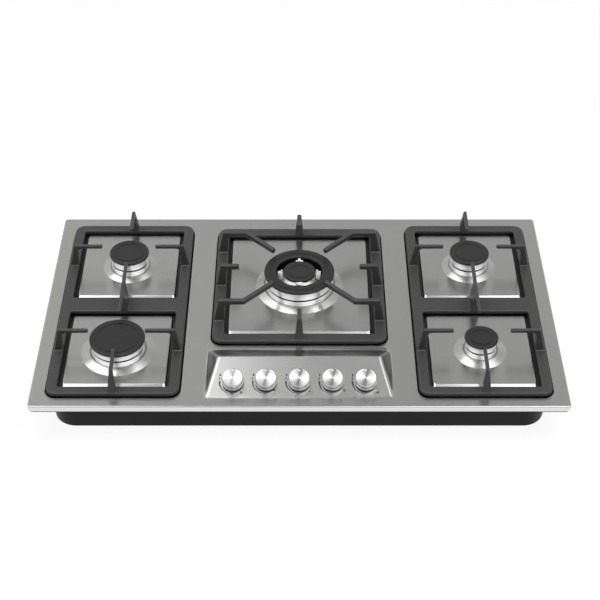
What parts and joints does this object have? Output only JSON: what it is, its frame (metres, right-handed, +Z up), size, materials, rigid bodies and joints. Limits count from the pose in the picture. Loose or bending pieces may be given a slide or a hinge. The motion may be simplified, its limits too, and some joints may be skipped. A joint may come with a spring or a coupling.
{
  "type": "gas cooktop",
  "caption": "built-in gas cooktop with a pressed steel plate, burners of several sizes, three enamelled pan supports and knobs on a raised front console",
  "frame": {"origin": "centre of the underside of the worktop seal, in the plane of the worktop's surface", "axes": "+X to the user's right, +Y to the rear, +Z up"},
  "size_m": [0.9, 0.522, 0.1169],
  "materials": {
    "steel_plate": "satin brushed",
    "black_steel": "black coated",
    "enamel": "satin black enamel",
    "aluminium": "cast and machined",
    "spun_metal": "spun face",
    "brass": "machined",
    "grey_steel": "drawn tube",
    "zinc_steel": "zinc plated",
    "plastic": "matt black",
    "ceramic": "glazed ceramic with a steel pin",
    "rubber": "matt",
    "foam": "closed-cell foam strip"
  },
  "bodies": {
    "hob": {"hob_plate": "steel_plate", "burner_box": "black_steel", "worktop_seal": "foam", "burner_rails": "black_steel", "manifold_rail": "grey_steel", "inlet_elbow": "brass", "tap_bodies": "brass", "feed_pipes": "aluminium", "injectors": "brass", "ignition_electrodes": "ceramic", "thermocouples": "grey_steel", "spark_generator": "plastic", "cable_gland": "plastic", "knob_seals": "plastic", "worktop_clamps": "black_steel", "clamp_screws": "zinc_steel", "burner_cup_rear_left": "aluminium", "burner_cup_front_left": "aluminium", "burner_cup_centre": "aluminium", "burner_cup_rear_right": "aluminium", "burner_cup_front_right": "aluminium"},
    "support_left": {"pan_support_left": "enamel", "support_feet_left": "rubber"},
    "support_centre": {"pan_support_centre": "enamel", "support_feet_centre": "rubber"},
    "support_right": {"pan_support_right": "enamel", "support_feet_right": "rubber"},
    "spreader_rear_left": {"flame_spreader_rear_left": "aluminium"},
    "cap_rear_left": {"burner_cap_rear_left": "enamel"},
    "spreader_front_left": {"flame_spreader_front_left": "aluminium"},
    "cap_front_left": {"burner_cap_front_left": "enamel"},
    "spreader_centre": {"flame_spreader_centre": "aluminium"},
    "cap_centre": {"burner_cap_centre": "enamel"},
    "spreader_rear_right": {"flame_spreader_rear_right": "aluminium"},
    "cap_rear_right": {"burner_cap_rear_right": "enamel"},
    "spreader_front_right": {"flame_spreader_front_right": "aluminium"},
    "cap_front_right": {"burner_cap_front_right": "enamel"},
    "cap_centre_inner": {"burner_cap_centre_inner": "enamel"},
    "plug_front_left": {"tap_plug_front_left": "brass", "tap_spring_front_left": "grey_steel"},
    "knob_front_left": {"knob_front_left": "spun_metal", "spindle_front_left": "grey_steel"},
    "plug_rear_left": {"tap_plug_rear_left": "brass", "tap_spring_rear_left": "grey_steel"},
    "knob_rear_left": {"knob_rear_left": "spun_metal", "spindle_rear_left": "grey_steel"},
    "plug_centre": {"tap_plug_centre": "brass", "tap_spring_centre": "grey_steel"},
    "knob_centre": {"knob_centre": "spun_metal", "spindle_centre": "grey_steel"},
    "plug_rear_right": {"tap_plug_rear_right": "brass", "tap_spring_rear_right": "grey_steel"},
    "knob_rear_right": {"knob_rear_right": "spun_metal", "spindle_rear_right": "grey_steel"},
    "plug_front_right": {"tap_plug_front_right": "brass", "tap_spring_front_right": "grey_steel"},
    "knob_front_right": {"knob_front_right": "spun_metal", "spindle_front_right": "grey_steel"}
  },
  "joints": [
    {"name": "support_left_lift", "type": "slide", "parent": "hob", "child": "support_left", "axis": [0, 0, 1], "range_m": [0, 0.065]},
    {"name": "support_centre_lift", "type": "slide", "parent": "hob", "child": "support_centre", "axis": [0, 0, 1], "range_m": [0, 0.065]},
    {"name": "support_right_lift", "type": "slide", "parent": "hob", "child": "support_right", "axis": [0, 0, 1], "range_m": [0, 0.065]},
    {"name": "spreader_rear_left_lift", "type": "slide", "parent": "hob", "child": "spreader_rear_left", "axis": [0, 0, 1], "range_m": [0, 0.06]},
    {"name": "cap_rear_left_lift", "type": "slide", "parent": "spreader_rear_left", "child": "cap_rear_left", "axis": [0, 0, 1], "range_m": [0, 0.035]},
    {"name": "spreader_front_left_lift", "type": "slide", "parent": "hob", "child": "spreader_front_left", "axis": [0, 0, 1], "range_m": [0, 0.06]},
    {"name": "cap_front_left_lift", "type": "slide", "parent": "spreader_front_left", "child": "cap_front_left", "axis": [0, 0, 1], "range_m": [0, 0.035]},
    {"name": "spreader_centre_lift", "type": "slide", "parent": "hob", "child": "spreader_centre", "axis": [0, 0, 1], "range_m": [0, 0.06]},
    {"name": "cap_centre_lift", "type": "slide", "parent": "spreader_centre", "child": "cap_centre", "axis": [0, 0, 1], "range_m": [0, 0.035]},
    {"name": "spreader_rear_right_lift", "type": "slide", "parent": "hob", "child": "spreader_rear_right", "axis": [0, 0, 1], "range_m": [0, 0.06]},
    {"name": "cap_rear_right_lift", "type": "slide", "parent": "spreader_rear_right", "child": "cap_rear_right", "axis": [0, 0, 1], "range_m": [0, 0.035]},
    {"name": "spreader_front_right_lift", "type": "slide", "parent": "hob", "child": "spreader_front_right", "axis": [0, 0, 1], "range_m": [0, 0.06]},
    {"name": "cap_front_right_lift", "type": "slide", "parent": "spreader_front_right", "child": "cap_front_right", "axis": [0, 0, 1], "range_m": [0, 0.035]},
    {"name": "cap_centre_inner_lift", "type": "slide", "parent": "spreader_centre", "child": "cap_centre_inner", "axis": [0, 0, 1], "range_m": [0, 0.035]},
    {"name": "knob_front_left_turn", "type": "hinge", "parent": "hob", "child": "plug_front_left", "pos_m": [-0.1112, -0.2108, 0.02358], "axis": [0, -0.3106, 0.9505], "range_deg": [0, 180]},
    {"name": "knob_front_left_push", "type": "slide", "parent": "plug_front_left", "child": "knob_front_left", "axis": [0, 0.3106, -0.9505], "range_m": [0, 0.003], "stiffness_N_per_m": 500, "springref_m": -0.004, "deforming": ["tap_spring_front_left"]},
    {"name": "knob_rear_left_turn", "type": "hinge", "parent": "hob", "child": "plug_rear_left", "pos_m": [-0.0556, -0.2108, 0.02358], "axis": [0, -0.3106, 0.9505], "range_deg": [0, 180]},
    {"name": "knob_rear_left_push", "type": "slide", "parent": "plug_rear_left", "child": "knob_rear_left", "axis": [0, 0.3106, -0.9505], "range_m": [0, 0.003], "stiffness_N_per_m": 500, "springref_m": -0.004, "deforming": ["tap_spring_rear_left"]},
    {"name": "knob_centre_turn", "type": "hinge", "parent": "hob", "child": "plug_centre", "pos_m": [0, -0.2108, 0.02358], "axis": [0, -0.3106, 0.9505], "range_deg": [0, 180]},
    {"name": "knob_centre_push", "type": "slide", "parent": "plug_centre", "child": "knob_centre", "axis": [0, 0.3106, -0.9505], "range_m": [0, 0.003], "stiffness_N_per_m": 500, "springref_m": -0.004, "deforming": ["tap_spring_centre"]},
    {"name": "knob_rear_right_turn", "type": "hinge", "parent": "hob", "child": "plug_rear_right", "pos_m": [0.0556, -0.2108, 0.02358], "axis": [0, -0.3106, 0.9505], "range_deg": [0, 180]},
    {"name": "knob_rear_right_push", "type": "slide", "parent": "plug_rear_right", "child": "knob_rear_right", "axis": [0, 0.3106, -0.9505], "range_m": [0, 0.003], "stiffness_N_per_m": 500, "springref_m": -0.004, "deforming": ["tap_spring_rear_right"]},
    {"name": "knob_front_right_turn", "type": "hinge", "parent": "hob", "child": "plug_front_right", "pos_m": [0.1112, -0.2108, 0.02358], "axis": [0, -0.3106, 0.9505], "range_deg": [0, 180]},
    {"name": "knob_front_right_push", "type": "slide", "parent": "plug_front_right", "child": "knob_front_right", "axis": [0, 0.3106, -0.9505], "range_m": [0, 0.003], "stiffness_N_per_m": 500, "springref_m": -0.004, "deforming": ["tap_spring_front_right"]}
  ]
}
